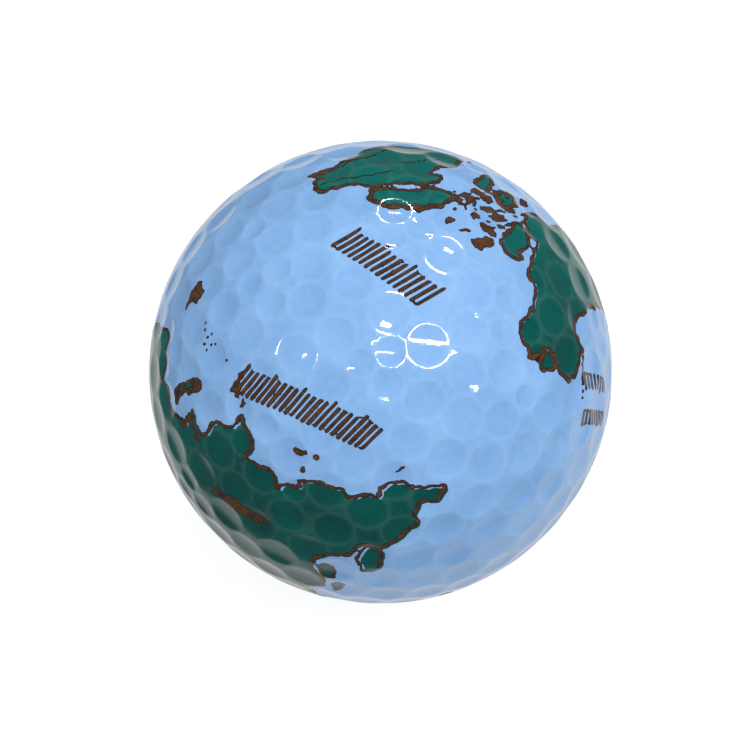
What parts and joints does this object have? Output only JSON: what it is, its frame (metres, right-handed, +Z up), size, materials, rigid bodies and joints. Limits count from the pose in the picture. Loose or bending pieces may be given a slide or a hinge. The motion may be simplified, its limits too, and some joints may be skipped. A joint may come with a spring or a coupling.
{
  "type": "globe golf ball",
  "caption": "Hard dimpled golf ball printed as a world globe, with a rubber core, a two-half moulded cover, a blue ground coat and a glossy clear coat.",
  "frame": {"origin": "centre of the ball", "axes": "+Z is up and comes out close to the printed map's north pole; +Y is the mould axis, so the parting line lies in the XZ plane; +X is to the right seen from the front"},
  "size_m": [0.0426, 0.0426, 0.0426],
  "materials": {
    "core_rubber": "matt moulded rubber",
    "cover_resin": "moulded ionomer resin",
    "blue_paint": "sky-blue paint",
    "clear_lacquer": "clear gloss lacquer"
  },
  "bodies": {
    "root": {"core": "core_rubber", "cover_front_half": "cover_resin", "cover_rear_half": "cover_resin", "ground_coat": "blue_paint", "clear_coat": "clear_lacquer"}
  },
  "joints": []
}
